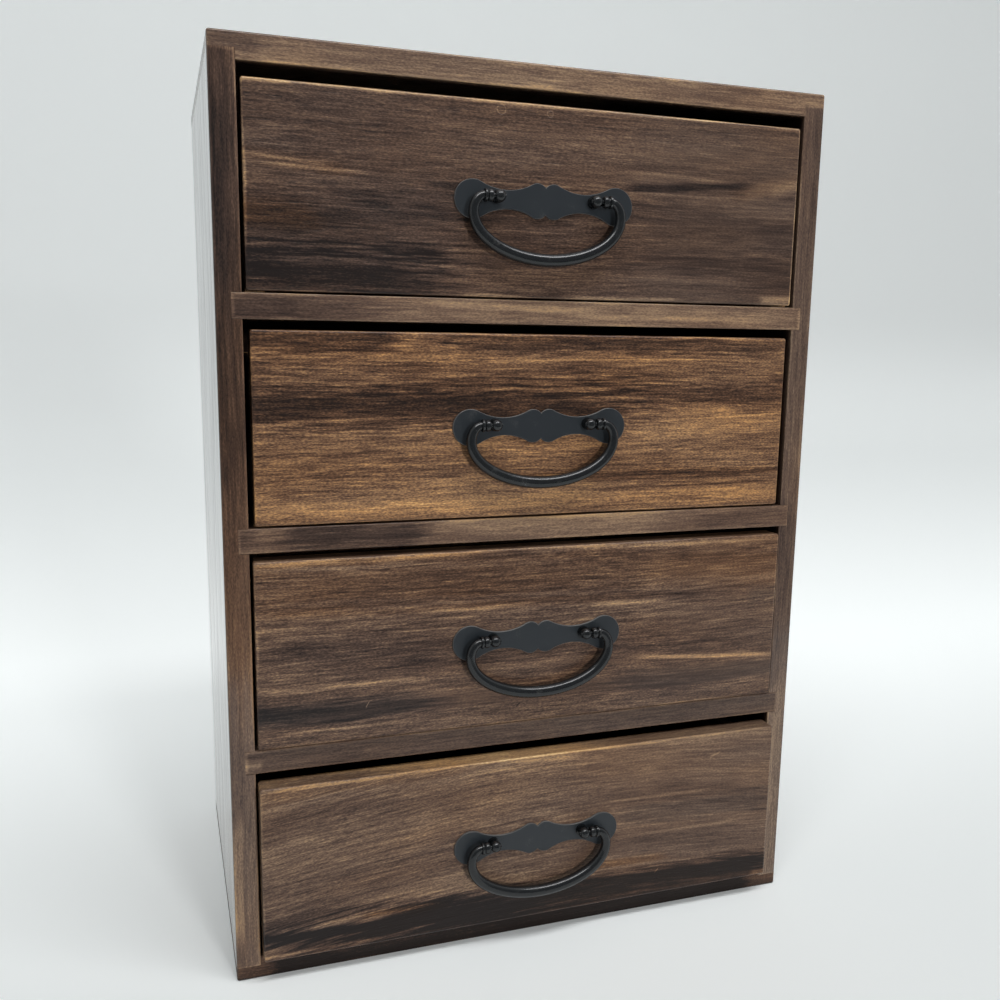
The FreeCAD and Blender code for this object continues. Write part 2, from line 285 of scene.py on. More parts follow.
class MetalSettings(bpy.types.PropertyGroup):
    """Colours of the blackened pulls and of the hidden fixings."""

    black: FloatVectorProperty(
        name="Black", description="Enamel of the backplates", default=colour(30, 34, 38), **COLOUR)
    iron: FloatVectorProperty(
        name="Iron", description="Glossier black of the posts and bails", default=colour(19, 21, 23),
        **COLOUR)
    # Colour of worn places on the enamel and the zinc, and of the painted highlight on the backplates'
    # rims
    rubbed_and_rim_light: FloatVectorProperty(
        name="Rubbed", description="Edges where the enamel is thin", default=colour(96, 94, 92),
        **COLOUR)
    zinc: FloatVectorProperty(
        name="Zinc", description="Nuts and brads", default=colour(150, 150, 146), **COLOUR)
    plate_roughness: FloatProperty(
        name="Plate roughness", description="Dullness of the backplates", default=0.46, **SHARE)
    bail_roughness: FloatProperty(
        name="Bail roughness", description="Dullness of the bails and posts", default=0.23, **SHARE)
    gloss: FloatProperty(
        name="Gloss", description="Strength of the reflections on the pulls", default=0.5, **SHARE)
    plate_bevel: FloatProperty(
        name="Plate bevel", description="Rounding of the backplates' edges", default=0.3 * MM, **LENGTH)


class BailSettings(bpy.types.PropertyGroup):
    """Sizes of a hanging bail, the same as those of its solid."""

    post_spacing: FloatProperty(
        name="Post spacing", description="Between the middles of a pull's posts", default=40 * MM,
        **LENGTH)
    stand_off: FloatProperty(
        name="Stand-off", description="The bail's axis in front of the wood", default=4.5 * MM, **LENGTH)
    rise: FloatProperty(
        name="Rise", description="The bail's axis above the middle of the backplate", default=1.1 * MM,
        **LENGTH)
    collar_start: FloatProperty(
        name="Collar start", description="Inner end of a collar from the middle of its post",
        default=2.55 * MM, **LENGTH)
    collar_length: FloatProperty(
        name="Collar length", description="Length of a turned collar", default=3.6 * MM, **LENGTH)
    collar_radius: FloatProperty(
        name="Collar radius", description="Radius of a collar's flange", default=2.5 * MM, **LENGTH)
    pin_radius: FloatProperty(
        name="Pin radius", description="Radius of the pin in a post's eye", default=0.9 * MM, **LENGTH)
    pin_end: FloatProperty(
        name="Pin end", description="Inner end of a pin from the middle of its post", default=2.35 * MM,
        **LENGTH)
    drop: FloatProperty(
        name="Drop", description="From the axis to the middle of the grip", default=23.2 * MM, **LENGTH)
    bow: FloatProperty(
        name="Bow", description="Widest point beyond a post", default=10.4 * MM, **LENGTH)
    shoulder: FloatProperty(
        name="Shoulder", description="From the axis down to the widest point", default=6.2 * MM,
        **LENGTH)
    end_radius: FloatProperty(
        name="End radius", description="Radius of the bar at a collar", default=1.65 * MM, **LENGTH)
    side_radius: FloatProperty(
        name="Side radius", description="Radius at the widest point", default=2.0 * MM, **LENGTH)
    grip_radius: FloatProperty(
        name="Grip radius", description="Radius in the middle", default=2.5 * MM, **LENGTH)
    curve: FloatProperty(
        name="Curve", description="Exponent of the lower curve, 2 for an ellipse", default=1.98, min=1)
    rings: IntProperty(name="Rings", description="Sections along the bail", default=97, min=8)
    sides: IntProperty(name="Sides", description="Facets round the bail", default=20, min=6)


class StudioSettings(bpy.types.PropertyGroup):
    """Camera, lamps and the pale sweep behind the box."""

    camera_place: FloatVectorProperty(
        name="Camera place", description="Where the camera stands", subtype="TRANSLATION", size=3,
        default=(-0.14474, -0.46573, 0.25898))
    camera_turn: FloatVectorProperty(
        name="Camera turn", description="How the camera is turned", subtype="EULER", size=3,
        default=(math.radians(80.057), math.radians(-0.979), math.radians(-19.134)))
    camera_shift: FloatVectorProperty(
        name="Camera shift", description="Shift of the lens, as a share of the picture", size=2,
        default=(-0.0165, 0.0115))
    lens: FloatProperty(
        name="Lens", description="Focal length in millimetres on a 36 mm sensor", default=36.70, min=1)
    sweep: FloatVectorProperty(
        name="Sweep", description="Floor and backdrop", default=colour(236, 240, 240), **COLOUR)
    sweep_glow: FloatProperty(
        name="Sweep glow", description="How much brighter the sweep looks than its light makes it",
        default=0.64, min=0)
    sky: FloatVectorProperty(
        name="Surroundings", description="Pale room round the box", default=colour(232, 236, 236),
        **COLOUR)
    sky_light: FloatProperty(
        name="Surrounding light", description="Strength of the light from all round", default=0.2, min=0)
    opening: FloatProperty(
        name="Open front", description="Brightness of the room behind the camera, as a share",
        default=0.2, **SHARE)
    key_power: FloatProperty(
        name="Key lamp", description="Power of the soft lamp in front", default=58.0, unit="POWER",
        min=0)
    top_power: FloatProperty(
        name="Top lamp", description="Power of the soft lamp overhead", default=10.0, unit="POWER",
        min=0)


class BoxSettings(bpy.types.PropertyGroup):
    """All settings of the jewellery box."""

    wood: PointerProperty(type=WoodSettings)
    metal: PointerProperty(type=MetalSettings)
    bail: PointerProperty(type=BailSettings)
    studio: PointerProperty(type=StudioSettings)


def mark_mask(tree, mark, along, across, flow):
    """1 on a mark's line and 0 outside, with ends and edges that follow the grain's flow."""
    half = abs(mark.end_along - mark.start_along) / 2 * MM
    middle_along = (mark.start_along + mark.end_along) / 2 * MM
    middle_across = (mark.start_across + mark.end_across) / 2 * MM
    rise = (mark.end_across - mark.start_across) / 2 * MM
    reach = (along - middle_along) * (1 / half)
    away = abs(across - (reach * rise + middle_across)) * (2 / (mark.thickness * MM))
    within = tree.smooth(away + flow, 1.15, 0.25)
    length = tree.smooth(abs(reach) + flow * 0.5, 1.05, 0.6)
    return within * length


def edge_distance(tree, low, high, places):
    """Distance of a point on a board's surface to the nearest edge: the middle one of three gaps."""
    first, second, third = (
        (end - start) / 2 - abs(place - (start + end) / 2)
        for place, start, end in zip(places, low, high))
    nearer = tree.maths("MINIMUM", first, second)
    farther = tree.maths("MAXIMUM", first, second)
    return tree.maths("MAXIMUM", nearer, tree.maths("MINIMUM", farther, third))


def grain_places(grain, low, x, y, z):
    """Places along, across and into a board's grain."""
    if grain == FRONT_GRAIN:
        return x, z - low.z, y
    if grain == SIDE_GRAIN:
        return y - low.y, z - low.z, x
    return z - low.z, x - low.x, y


def inside_cabinet(tree, x, y, z):
    """1 on faces inside the cabinet, behind its front edges, and 0 outside."""
    low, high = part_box("bottom_board")[0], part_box("top_board")[1]
    inside = tree.smooth(y, low.y + 0.4 * MM, low.y + 5 * MM)
    skin, board = 6 * MM, 9 * MM
    inside = inside * tree.smooth(abs(x), high.x - skin, high.x - board)
    inside = inside * tree.smooth(z, low.z + skin, low.z + board)
    return inside * tree.smooth(z, high.z - skin, high.z - board)


def dent_ring(tree, dent, along, across):
    """1 on the ring of a dent and 0 beside it."""
    off, up = along - dent.along * MM, across - dent.across * MM
    radius = tree.maths("SQRT", off * off + up * up)
    return tree.smooth(abs(radius - dent.radius * MM), 0.45 * MM, 0.15 * MM)


def wood_colours(tree, look, shade):
    """Colour of the wood from 0, charred, to 1, bare."""
    stops = ((0.0, look.char), (0.22, look.umber), (0.44, look.brown), (0.62, look.tan),
             (0.80, look.honey), (1.0, look.straw))
    return tree.add("ShaderNodeValToRGB", {"stops": stops}, {"Fac": shade})


def torched_wood(name, node, grain, tone, marks=(), seed=1.0, bow=0.0, bow_middle=0.0, red=0.0,
                 grey=0.0, wear=1.0, contrast=1.0, varnish=1.0, dulling=1.0, dents=(), inside_shade=0.0):
    """Wood that was torched, brushed along its grain, sanded on its edges and varnished.

    A bow bends the grain lines about a middle along the board. A sooty board is darker by that much
    inside the cabinet, where it was stained and never sanded.
    """
    look = settings().wood
    low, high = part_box(node)
    material, tree = new_material(name)
    x, y, z = tree.split(tree.place())
    along, straight, deep = grain_places(grain, low, x, y, z)

    flat = tree.join(along, straight, deep)
    wander = tree.noise(flat, WANDER, seed, 1.0) * (2.2 * look.waviness)
    tremble = tree.noise(flat, TREMBLE, seed + 3, 1.0) * (0.35 * look.waviness)
    across = straight + wander + tremble
    lines = across
    if bow:
        reach = along - bow_middle * MM
        lines = lines + reach * reach * bow
    grainwise = tree.join(along, lines, deep + wander)

    def figure(density_along, density_across, shift, detail=1.0, roughness=0.5):
        """Noise along the grain, whose densities are 1 for the fine grain lines."""
        fine = density_across / look.fibre_width
        scale = (density_along / look.fibre_length, fine, fine)
        return tree.noise(grainwise, scale, seed + shift, detail, roughness)

    fibre = figure(1.0, 1.0, 11, 3.0, 0.6)
    streak = figure(0.24, 0.42, 23, 3.0, 0.6)
    band = figure(0.1, 0.07, 37, 2.0)
    glint = tree.smooth(figure(0.75, 1.25, 41), 0.10, 0.26)
    pore = tree.smooth(figure(2.4, 1.7, 53), -0.10, -0.24)
    fleck = figure(13.0, 2.4, 59)
    hue = figure(0.2, 0.05, 71)

    total = {"tone": tone, "red": red, "grey": grey, "haze": 0.0}
    flow = streak * 1.6 + fibre * 0.7
    for mark in marks:
        mask = mark_mask(tree, mark, along, across, flow)
        total[mark.kind] = mask * mark.strength + total[mark.kind]

    edge = edge_distance(tree, low, high, (x, y, z))
    patchy = tree.noise(flat, PATCHES, seed + 67, 2.0)
    worn = tree.smooth(edge * (1 / look.wear) - patchy * 3.2 + streak * 0.8, 0.9, 0.0) * wear

    strokes = streak * 0.32 + fibre * 0.80 + fleck * 0.65 + glint * 0.12 - pore * 0.12
    clear = (1.0 - total["haze"]) * contrast
    shade = total["tone"] + band * 0.5 + strokes * clear + worn * 0.42
    # painted shade: faces inside the cabinet are darker
    if inside_shade:
        shade = shade - inside_cabinet(tree, x, y, z) * inside_shade

    height = fibre + fleck * 0.3 + glint * 0.25 - pore * 0.3 + streak * 0.6
    for dent in dents:
        ring = dent_ring(tree, dent, along, straight)
        shade = shade + ring * 0.12
        height = height - ring * 0.8

    ground = wood_colours(tree, look, shade)
    reddened = tree.mix(total["red"] + hue * 0.9, ground, RED_TINT, "MULTIPLY")
    greyed = tree.mix(total["grey"] - hue * 0.5, reddened, GREY_TINT, "MULTIPLY")
    tree.surface(
        Base_Color=greyed,
        Roughness=look.roughness - fibre * 0.22 + pore * 0.12,
        Normal=tree.bump(height, look.relief),
        Coat_Weight=(streak * 1.1 + 1.0) * (look.varnish * varnish),
        Coat_Roughness=look.varnish_roughness * dulling,
        Coat_IOR=1.35,
        Specular_IOR_Level=0.2,
    )
    return material


# The figure of each drawer front, from the top down
FRONTS = {
    1: dict(tone=0.292, red=0.18, grey=0.50, seed=4.0, contrast=0.85, wear=0.7,
            dents=(Dent(-18.3, 69.9, 1.7), Dent(1.5, 69.8, 1.2)), marks=(
        Tone(-118, 47.8, -82, 45.2, 1.8, 0.20),
        Red(-122, 48.0, -72, 43.6, 7.0, 0.45),
        Tone(-110, 44.8, -66, 43.2, 1.8, 0.22),
        Tone(-80, 42.9, 118, 42.6, 1.0, 0.14),
        Tone(28, 50.4, 86, 49.0, 2.4, 0.12),
        # painted sheen: the grain is veiled over the right half of this front
        Haze(30, 30.0, 170, 34.0, 110.0, 0.40),
        Tone(-60, 59.0, 56, 57.0, 20.0, 0.09),
        Tone(42, 55.6, 90, 54.6, 2.2, 0.10),
        # painted sheen: greyer over the right half of this front
        Grey(30, 36.0, 170, 38.0, 110.0, 0.45),
        Tone(86, 44.0, 122, 54.0, 9.0, 0.12),
        Red(80, 43.0, 122, 54.0, 9.0, 0.3),
        Tone(100, 46.0, 120, 50.5, 7.0, 0.12),
        Tone(30, 43.6, 98, 48.5, 3.6, -0.24),
        Grey(40, 44.4, 98, 48.5, 4.0, 0.6),
        Tone(-150, 28.0, 150, 27.0, 34.0, -0.07),
        Tone(-150, 24.0, -34, 22.0, 26.0, -0.05),
        Tone(-160, 9.0, -30, 6.0, 26.0, -0.26),
        Red(-126, 28.0, -86, 26.0, 12.0, 0.8),
        Tone(-98, 12.4, -28, 11.2, 1.8, 0.12),
        Tone(-62, 18.4, 44, 16.8, 2.0, 0.08),
        Tone(20, 9.0, 96, 8.2, 2.2, 0.10),
        Tone(97, 2.0, 118, 2.4, 4.6, 0.28),
        Tone(6, 0.6, 64, 0.6, 1.8, 0.24),
        Tone(-118, 72.4, 118, 72.6, 1.6, 0.26),
        Tone(-120, 72.0, -96, 72.6, 3.6, 0.26),
        Tone(113.0, 12.0, 114.6, 40.0, 60.0, 0.30),
    )),
    2: dict(tone=0.452, red=0.75, grey=0.0, seed=9.0, contrast=1.15, wear=0.4, marks=(
        Tone(-140, 69.0, -50, 69.0, 9.0, -0.24),
        Red(-140, 69.0, -50, 69.0, 9.0, 0.4),
        Tone(-50, 68.6, 140, 68.2, 9.0, -0.13),
        Grey(-48, 68.6, 140, 68.2, 8.5, 0.35),
        Tone(-68.0, 64.0, -49.0, 71.0, 6.0, 0.09),
        Tone(-140, 59.4, 34, 58.0, 9.0, -0.09),
        Tone(-34, 62.9, 114, 62.6, 1.1, 0.22),
        Tone(-160, 45.4, 50, 45.4, 19.0, -0.34),
        Tone(16, 48.6, 160, 50.2, 15.0, -0.14),
        Tone(-150, 21.0, 150, 21.0, 30.0, 0.07),
        Tone(34, 33.0, 122, 36.4, 9.0, 0.15),
        Tone(48, 37.4, 118, 41.0, 1.2, 0.20),
        Tone(-140, 5.0, 140, 5.0, 10.0, 0.22),
        Tone(-20, 15.2, 122, 16.2, 3.4, -0.22),
        Red(-20, 15.2, 122, 16.2, 5.0, 0.5),
        Tone(8, 9.8, 114, 10.6, 1.3, -0.18),
        Tone(6, 13.4, 112, 14.0, 1.2, -0.20),
        Tone(-96, 17.6, -28, 16.4, 2.2, -0.14),
        Tone(-116, 26.6, -50, 26.0, 2.0, -0.10),
    )),
    3: dict(tone=0.376, red=0.16, grey=0.25, seed=15.0, varnish=0.7, contrast=1.0, wear=0.4, marks=(
        Tone(-122, 73.2, -14, 74.0, 2.8, 0.22),
        Red(-122, 73.0, -14, 73.6, 4.0, 0.5),
        Tone(0, 73.4, 122, 72.2, 3.2, 0.20),
        Red(-150, 63.0, 150, 63.0, 22.0, 0.5),
        Tone(-150, 62.0, 150, 62.0, 26.0, -0.04),
        Tone(-122, 52.6, -68, 52.0, 2.6, 0.13),
        Red(-122, 52.6, 64, 49.6, 5.0, 0.3),
        Tone(-56, 50.4, 2, 50.0, 2.8, 0.20),
        Tone(20, 48.4, 64, 47.6, 3.2, 0.24),
        Tone(-150, 37.0, 150, 37.0, 22.0, -0.07),
        Tone(-118, 21.4, -42, 23.6, 2.0, 0.14),
        Tone(-150, 19.0, -50, 20.0, 8.0, -0.07),
        Tone(40, 24.2, 122, 18.6, 2.6, 0.36),
        Tone(-36, 25.4, 38, 26.2, 5.0, 0.13),
        Tone(-150, 13.0, -36, 12.6, 9.0, -0.28),
        Haze(-140, 13.0, 140, 12.6, 10.0, 0.5),
        Tone(-60, 1.0, 90, 1.0, 6.0, 0.09),
        Grey(-140, 13.0, -40, 12.6, 10.0, 0.9),
        Tone(28, 12.8, 150, 13.0, 8.0, -0.12),
        Grey(28, 12.8, 140, 13.0, 11.0, 0.8),
        Tone(-110, 5.8, -56, 5.6, 1.3, 0.22),
        Tone(-72.4, 13.0, -70.8, 15.6, 1.0, 0.42),
        Tone(-9.0, 6.6, -7.2, 8.2, 0.9, -0.34),
        Tone(11.2, 5.4, 12.0, 9.4, 1.2, -0.30),
        Grey(98, 47.0, 126, 47.0, 10.0, 0.7),
        # painted sheen: the grain is veiled over the right part of this front
        Haze(50, 40.0, 180, 40.0, 110.0, 0.22),
        Tone(108, 44.0, 114, 45.4, 1.4, 0.24),
    )),
    4: dict(tone=0.445, red=0.12, grey=0.45, seed=22.0, varnish=0.35, contrast=0.85, wear=0.4,
            bow=0.62, bow_middle=18.0, marks=(
        Red(-124, 70.0, -20, 73.0, 8.0, 0.5),
        Tone(-124, 72.6, 40, 73.0, 1.8, 0.26),
        Tone(-20, 72.0, 20, 70.0, 2.4, 0.18),
        Grey(32, 38.4, 122, 38.0, 12.0, 0.8),
        Tone(32, 38.4, 122, 38.0, 11.0, -0.08),
        Tone(26, 47.0, 86, 46.4, 1.8, 0.18),
        Tone(34, 30.0, 102, 29.6, 1.8, 0.14),
        Red(-78, 13.4, -40, 13.0, 5.0, 0.8),
        Tone(-78, 13.6, -40, 13.2, 2.4, 0.14),
        Red(24, 18.6, 66, 18.0, 5.0, 0.8),
        Tone(-92, 9.0, 150, 4.0, 19.0, -0.42),
        Red(-20, 9.0, 150, 4.0, 19.0, 0.5),
        Tone(-190, 12.4, 10, 3.8, 8.0, -0.46),
        Tone(-150, 16.4, -30, 15.4, 7.0, -0.18),
        Haze(-150, 9.0, 150, 6.0, 12.0, 0.4),
        # painted sheen: the grain is veiled over the right part of this front
        Haze(10, 50.0, 170, 50.0, 110.0, 0.35),
        Tone(-150, 11.0, 150, 8.0, 12.0, -0.10),
        Tone(-130, 10.0, -74, 9.6, 8.0, -0.16),
        Grey(-124, 9.6, -74, 9.6, 9.0, 0.9),
        Tone(-112, 3.0, -40, 2.2, 7.0, -0.26),
        Tone(-122, 2.2, -62, 2.0, 1.4, 0.26),
        Tone(106, 1.0, 122, 1.0, 3.0, 0.30),
        Tone(56.8, 10.6, 59.0, 12.6, 1.0, 0.30),
        Tone(82, 61.6, 88, 63.8, 1.6, 0.16),
    )),
}

# The figure on the front edges of the cabinet's boards
CARCASS = {
    "top_board": dict(grain=FRONT_GRAIN, tone=0.525, grey=0.5, seed=31.0, varnish=1.4, marks=(
        Tone(-140, 5.0, -104, 5.0, 14.0, -0.15),
        Tone(-12, 5.0, 150, 5.0, 14.0, -0.07),
        Tone(62, 5.0, 96, 5.0, 14.0, -0.06),
    )),
    # The bottom board's dark front edge is partly burn, partly painted shade under the proud lowest
    # drawer and a painted reflection of dark ground in front
    "bottom_board": dict(grain=FRONT_GRAIN, tone=-0.04, red=0.3, seed=35.0, varnish=0.2, marks=(
        Tone(-140, 5.0, -108, 5.0, 14.0, 0.36),
        Tone(106, 5.0, 140, 5.0, 14.0, 0.36),
        Tone(20, 7.4, 130, 7.4, 2.4, 0.08),
    )),
    "left_side": dict(grain=UPRIGHT_GRAIN, tone=0.30, red=0.1, grey=0.2, seed=38.0, varnish=1.4,
                      dulling=0.5, marks=(
        Tone(-120, 4.0, 190, 4.0, 24.0, 0.14),
        Tone(10, 1.6, 66, 2.4, 5.0, 0.20),
        Grey(-80, 4.0, 110, 4.0, 24.0, 0.4),
        Red(90, 4.0, 290, 4.0, 24.0, 0.45),
        Tone(170, 4.0, 420, 4.0, 24.0, -0.08),
        Tone(260, 4.0, 345, 4.0, 24.0, -0.08),
    )),
    "right_side": dict(grain=UPRIGHT_GRAIN, tone=0.395, grey=0.8, seed=43.0, varnish=1.4,
                       dulling=0.5, marks=(
        Tone(-60, 4.0, 90, 4.0, 24.0, 0.05),
        Tone(88, 4.0, 190, 4.0, 24.0, -0.13),
        Tone(20, 8.4, 340, 8.6, 2.4, 0.05),
    )),
    "shelf_1": dict(grain=FRONT_GRAIN, tone=0.42, grey=0.3, seed=47.0, varnish=1.2, marks=(
        Tone(-150, 5.0, -60, 5.0, 14.0, -0.08),
        Tone(-52, 7.4, 30, 5.0, 3.0, 0.16),
        Tone(10, 3.4, 112, 4.0, 3.0, 0.14),
        Tone(-122, 4.0, -94, 4.6, 8.0, -0.05),
    )),
    "shelf_2": dict(grain=FRONT_GRAIN, tone=0.45, grey=0.25, seed=52.0, varnish=1.2, marks=(
        Tone(-150, 5.0, -110, 5.0, 14.0, -0.14),
        Tone(-110, 5.0, -42, 5.0, 14.0, -0.24),
        Grey(-108, 5.0, -38, 5.0, 12.0, 0.5),
        Tone(-42, 5.0, 60, 5.0, 12.0, 0.09),
        Tone(70, 4.0, 150, 4.0, 9.0, -0.11),
    )),
    "shelf_3": dict(grain=FRONT_GRAIN, tone=0.375, grey=0.6, seed=58.0, varnish=0.7, marks=(
        Tone(-122, 3.6, -112, 3.6, 4.0, 0.20),
        Tone(0, 5.0, 150, 5.0, 14.0, -0.05),
        Grey(0, 5.0, 150, 5.0, 14.0, 0.5),
    )),
}


class JEWELLERY_OT_carcass(bpy.types.Operator):
    """Finish the boards of the cabinet"""

    bl_idname = "jewellery.carcass"
    bl_label = "Cabinet boards"

    def execute(self, context):
        for node, look in CARCASS.items():
            # the cabinet's boards get painted shade on their faces inside the cabinet
            coat(node, torched_wood("wood_" + node, node, wear=0.35, contrast=0.6, inside_shade=0.36, **look))
        return {"FINISHED"}


class JEWELLERY_OT_fronts(bpy.types.Operator):
    """Finish the four drawer fronts"""

    bl_idname = "jewellery.fronts"
    bl_label = "Drawer fronts"

    def execute(self, context):
        for number, look in FRONTS.items():
            node = "drawer_%d_front" % number
            coat(node, torched_wood("wood_" + node, node, FRONT_GRAIN, **look))
        return {"FINISHED"}


class JEWELLERY_OT_drawer_boxes(bpy.types.Operator):
    """Finish the sides and backs of the drawers"""

    bl_idname = "jewellery.drawer_boxes"
    bl_label = "Drawer sides and backs"

    def execute(self, context):
        for number in DRAWERS:
            for part, grain, shift in (("left_side", SIDE_GRAIN, 0), ("right_side", SIDE_GRAIN, 2),
                                       ("back", FRONT_GRAIN, 4)):
                node = "drawer_%d_%s" % (number, part)
                seed = 80.0 + 7 * number + shift
                coat(node, torched_wood("wood_" + node, node, grain, tone=0.5, seed=seed,
                                        contrast=0.7, wear=0.6, varnish=0.4))
        return {"FINISHED"}


def plywood(name, node, seed, tone=0.56):
    """Thin plywood: a stained face with long soft grain, and three plies on its edges."""
    look = settings().wood
    low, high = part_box(node)
    material, tree = new_material(name)
    place = tree.place()
    x, y, z = tree.split(place)
    thin_in_y = high.y - low.y < high.z - low.z
    depth, start, end = (y, low.y, high.y) if thin_in_y else (z, low.z, high.z)
    fibre = tree.noise(place, (40, 700, 700), seed, 3.0, 0.6)
    streak = tree.noise(place, (9, 120, 120), seed + 5, 2.0)
    ply = (depth - start) * (3 / (end - start))
    core = tree.smooth(ply, 1.0, 1.08) * tree.smooth(ply, 2.0, 1.92)
    ground = wood_colours(tree, look, tone + fibre * 0.35 + streak * 0.4 - core * 0.16)
    tree.surface(Base_Color=ground, Roughness=0.55 - fibre * 0.2, Normal=tree.bump(fibre, 0.06 * MM))
    return material


class JEWELLERY_OT_plywood(bpy.types.Operator):
    """Finish the plywood back and the drawer bottoms"""

    bl_idname = "jewellery.plywood"
    bl_label = "Plywood panels"

    def execute(self, context):
        # The back panel is darker than the drawer bottoms: painted shade for the dark gaps above the
        # drawers
        coat("back_panel", plywood("plywood_back", "back_panel", 3.0, tone=0.24))
        for number in DRAWERS:
            node = "drawer_%d_bottom" % number
            coat(node, plywood("plywood_" + node, node, 5.0 + 6 * number))
        return {"FINISHED"}


def enamel(name, roughness, seed, black, gloss, rubbed_and_rim_light=0.0):
    """Black stove enamel with a faint pebble, a little thinner and lighter in places.

    On a rubbed piece the edges that face sideways are lighter by that share.
    """
    look = settings().metal
    material, tree = new_material(name)
    place = tree.place()
    pebble = tree.noise(place, (1400, 1400, 1400), seed, 2.0)
    cloud = tree.noise(place, (160, 160, 160), seed + 7, 2.0)
    thin_and_rim_lit = tree.smooth(cloud + pebble * 0.5, 0.10, 0.34) * 0.14
    if rubbed_and_rim_light:
        # painted highlight: edges that face sideways are lighter, standing in for light caught on the
        # bevelled rims
        facing = abs(tree.split(tree.add("ShaderNodeNewGeometry", output="Normal"))[1])
        thin_and_rim_lit = tree.maths("MAXIMUM", thin_and_rim_lit, tree.smooth(facing, 0.95, 0.7) * (rubbed_and_rim_light + cloud))
    ground = tree.mix(thin_and_rim_lit, tuple(black), tuple(look.rubbed_and_rim_light))
    tree.surface(
        Base_Color=ground,
        Roughness=roughness + cloud * 0.15 + pebble * 0.06,
        Normal=tree.bump(pebble + cloud, 0.006 * MM),
        Specular_IOR_Level=gloss,
    )
    return material


def zinc(name, seed):
    """Bright zinc on nuts and brads, with dull spots."""
    look = settings().metal
    material, tree = new_material(name)
    spots = tree.noise(tree.place(), (900, 900, 900), seed, 2.0)
    ground = tree.mix(tree.smooth(spots, 0.05, 0.3), tuple(look.zinc), tuple(look.rubbed_and_rim_light))
    tree.surface(
        Base_Color=ground,
        Metallic=1.0 - tree.smooth(spots, 0.1, 0.4) * 0.5,
        Roughness=0.34 + spots * 0.5,
        Normal=tree.bump(spots, 0.02 * MM),
    )
    return material


class JEWELLERY_OT_fixings(bpy.types.Operator):
    """Finish the nuts and the brads"""

    bl_idname = "jewellery.fixings"
    bl_label = "Nuts and brads"

    def execute(self, context):
        steel = zinc("zinc_fixings", 2.0)
        for node in ("carcass_brads", "back_panel_brads"):
            coat(node, steel)
        for number in DRAWERS:
            coat("drawer_%d_brads" % number, steel)
            coat("drawer_%d_nuts" % number, steel)
        return {"FINISHED"}


def rounded_plate(name, solid, bevel):
    """A backplate's mesh with its front edges rounded."""
    shape = bmesh.new()
    shape.from_mesh(solid)
    weld, touch = 0.005 * MM, 0.01 * MM
    flat, sharp = math.radians(0.5), math.radians(60)
    bmesh.ops.remove_doubles(shape, verts=shape.verts, dist=weld)
    bmesh.ops.dissolve_limit(shape, angle_limit=flat, verts=shape.verts, edges=shape.edges)
    front = min(vertex.co.y for vertex in shape.verts)
    rim = [edge for edge in shape.edges
           if all(abs(vertex.co.y - front) < touch for vertex in edge.verts)
           and edge.calc_face_angle(0) > sharp]
    bmesh.ops.bevel(shape, geom=rim, offset=bevel, segments=3, profile=0.5, affect="EDGES",
                    clamp_overlap=True)
    mesh = bpy.data.meshes.new(name)
    shape.to_mesh(mesh)
    shape.free()
    return mesh


class JEWELLERY_OT_backplates(bpy.types.Operator):
    """Build the backplates again with rounded edges"""

    bl_idname = "jewellery.backplates"
    bl_label = "Backplates"

    def execute(self, context):
        look = settings().metal
        # the backplates' sideways edges get a painted highlight
        black = enamel("enamel_backplates", look.plate_roughness, 12.0, look.black,
                       gloss=0.5, rubbed_and_rim_light=0.7)
        for number in DRAWERS:
            node = "drawer_%d_backplate" % number
            mesh = rounded_plate("drawer_%d_plate" % number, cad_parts[node].data, look.plate_bevel)
            mesh.materials.append(black)
            plate = placed(mesh.name, mesh)
            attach(plate, "drawer_%d" % number)
            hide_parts(node)
        return {"FINISHED"}


class JEWELLERY_OT_posts(bpy.types.Operator):
    """Finish the posts of the pulls"""

    bl_idname = "jewellery.posts"
    bl_label = "Posts"

    def execute(self, context):
        look = settings().metal
        black = enamel("enamel_posts", look.bail_roughness, 19.0, look.iron, look.gloss)
        for number in DRAWERS:
            coat("drawer_%d_posts" % number, black)
        return {"FINISHED"}


def turned_collar(look):
    """Profile of a collar and its pin from the pin's inner end, as places along and radii."""
    start = look.post_spacing / 2 + look.collar_start
    length, radius = look.collar_length, look.collar_radius
    pin_end = look.post_spacing / 2 - look.pin_end
    chamfer = 0.15 * MM
    profile = [(pin_end, 0.0), (pin_end, 0.8 * look.pin_radius), (pin_end + chamfer, look.pin_radius),
               (start, look.pin_radius), (start, 0.62 * radius)]
    bead_steps = 8
    for step in range(bead_steps + 1):
        turn = math.pi * step / bead_steps
        profile.append((start + length * (0.33 - 0.31 * math.cos(turn)),
                        radius * (0.70 + 0.25 * math.sin(turn))))
    cove_and_flange = ((0.70, 0.74), (0.76, 0.97), (0.80, 1.0), (0.96, 1.0), (1.0, 0.95), (1.0, 0.0))
    profile += [(start + along * length, out * radius) for along, out in cove_and_flange]
    return profile


def turned_mesh(name, profile, sides):
    """Solid of revolution about the x axis with closed ends, its faces outwards."""
    shape = bmesh.new()
    rings = []
    for place, radius in profile:
        if radius == 0:
            rings.append([shape.verts.new((place, 0, 0))])
            continue
        ring = []
        for side in range(sides):
            turn = 2 * math.pi * side / sides
            ring.append(shape.verts.new((place, radius * math.cos(turn), radius * math.sin(turn))))
        rings.append(ring)
    for first, second in zip(rings, rings[1:]):
        for side in range(sides):
            corners = [first[side % len(first)], first[(side + 1) % len(first)],
                       second[(side + 1) % len(second)], second[side % len(second)]]
            shape.faces.new(list(dict.fromkeys(corners)))
    bmesh.ops.recalc_face_normals(shape, faces=shape.faces)
    mesh = bpy.data.meshes.new(name)
    shape.to_mesh(mesh)
    shape.free()
    return mesh


